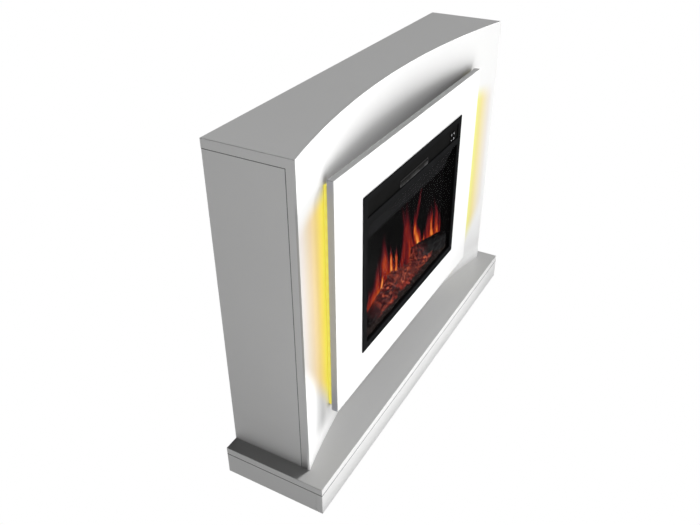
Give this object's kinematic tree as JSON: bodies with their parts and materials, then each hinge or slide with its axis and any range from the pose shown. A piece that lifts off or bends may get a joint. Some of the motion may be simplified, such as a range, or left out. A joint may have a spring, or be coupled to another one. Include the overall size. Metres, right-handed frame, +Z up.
{
  "type": "electric fireplace",
  "caption": "White free-standing electric fireplace: hearth slab, surround with a concave front, side-lit flat panel and a slim black fire with glass, logs, push buttons and fan heater.",
  "frame": {"origin": "middle of the hearth's footprint, on the floor", "axes": "+X to the viewer's right, -Y out of the front, +Y towards the wall, +Z up"},
  "size_m": [1.22, 0.285, 0.92],
  "materials": {
    "aluminium": "natural anodised aluminium",
    "beech": "turned beech",
    "black_plastic": "fine-textured black plastic",
    "black_steel": "fine matt black powder coat",
    "brass_plate": "passivated motor can",
    "bronze_bush": "sintered bronze",
    "button_plastic": "black plastic with a pale symbol",
    "ceramic_white": "glazed thermal switch body",
    "circuit_board": "green circuit board",
    "dark_grille": "dark grey painted metal",
    "diode_strip": "flexible strip with warm yellow diodes",
    "ember_resin": "translucent resin ember bed, lit from below",
    "flame_screen": "dark translucent screen with a projected flame picture",
    "glass": "clear toughened glass",
    "grey_plastic": "moulded nylon",
    "hardboard": "thin brown hardboard",
    "heater_fins": "aluminium fins",
    "log_resin": "charred-wood resin relief",
    "milky_cover": "milky extruded cover, lit from behind",
    "mirror_sheet": "polished reflecting sheet",
    "motor_steel": "stamped steel",
    "raw_fibreboard": "raw medium-density fibreboard",
    "white_lacquer": "smooth satin white lacquer over fibreboard",
    "white_plastic": "moulded white plastic",
    "zinc_screw": "bright zinc-plated steel",
    "zinc_sheet": "galvanised sheet steel"
  },
  "bodies": {
    "fireplace": {"glides": "grey_plastic", "hearth_front": "white_lacquer", "hearth_back": "raw_fibreboard", "hearth_left_side": "white_lacquer", "hearth_right_side": "white_lacquer", "hearth_ribs": "raw_fibreboard", "hearth_top": "white_lacquer", "left_side": "white_lacquer", "right_side": "white_lacquer", "curved_front": "white_lacquer", "top_slab": "white_lacquer", "base_board": "raw_fibreboard", "left_upright": "raw_fibreboard", "right_upright": "raw_fibreboard", "insert_shelf": "raw_fibreboard", "wall_rail": "raw_fibreboard", "back_panel": "hardboard", "centre_panel": "white_lacquer", "left_spacer": "raw_fibreboard", "right_spacer": "raw_fibreboard", "dowels": "beech", "corner_blocks": "white_plastic", "panel_screws": "zinc_screw", "left_led_channel": "aluminium", "right_led_channel": "aluminium", "left_led_strip": "diode_strip", "right_led_strip": "diode_strip", "left_led_diffuser": "milky_cover", "right_led_diffuser": "milky_cover", "led_driver": "white_plastic", "firebox_case": "zinc_sheet", "rear_cover": "zinc_sheet", "cover_screws": "zinc_screw", "cable_gland": "black_plastic", "trim_frame": "black_steel", "glass_pane": "glass", "fascia": "black_plastic", "outlet_grille": "dark_grille", "baffle": "black_steel", "heater_tray": "zinc_sheet", "ember_bed": "ember_resin", "log_set": "log_resin", "flame_screen": "flame_screen", "reflector": "mirror_sheet", "flame_led_board": "circuit_board", "ember_led_board": "circuit_board", "flicker_motor": "brass_plate", "flicker_bush": "white_plastic", "blower_housing": "zinc_sheet", "blower_motor": "motor_steel", "blower_bush": "bronze_bush", "heater_element": "heater_fins", "thermal_cutout": "ceramic_white", "control_board": "circuit_board"},
    "flicker_rod": {"flicker_rod": "mirror_sheet"},
    "blower_wheel": {"blower_wheel": "aluminium"},
    "power_button": {"power_button": "button_plastic"},
    "flame_button": {"flame_button": "button_plastic"},
    "low_heat_button": {"low_heat_button": "button_plastic"},
    "high_heat_button": {"high_heat_button": "button_plastic"}
  },
  "joints": [
    {"name": "flicker_spin", "type": "hinge", "parent": "fireplace", "child": "flicker_rod", "pos_m": [0, 0, 0.3452], "axis": [1, 0, 0], "continuous": true},
    {"name": "blower_spin", "type": "hinge", "parent": "fireplace", "child": "blower_wheel", "pos_m": [0, 0.018, 0.669], "axis": [1, 0, 0], "continuous": true},
    {"name": "power_press", "type": "slide", "parent": "fireplace", "child": "power_button", "axis": [0, 1, 0], "range_m": [0, 0.0015], "stiffness_N_per_m": 400, "springref_m": -0.0005},
    {"name": "flame_press", "type": "slide", "parent": "fireplace", "child": "flame_button", "axis": [0, 1, 0], "range_m": [0, 0.0015], "stiffness_N_per_m": 400, "springref_m": -0.0005},
    {"name": "low_heat_press", "type": "slide", "parent": "fireplace", "child": "low_heat_button", "axis": [0, 1, 0], "range_m": [0, 0.0015], "stiffness_N_per_m": 400, "springref_m": -0.0005},
    {"name": "high_heat_press", "type": "slide", "parent": "fireplace", "child": "high_heat_button", "axis": [0, 1, 0], "range_m": [0, 0.0015], "stiffness_N_per_m": 400, "springref_m": -0.0005}
  ]
}
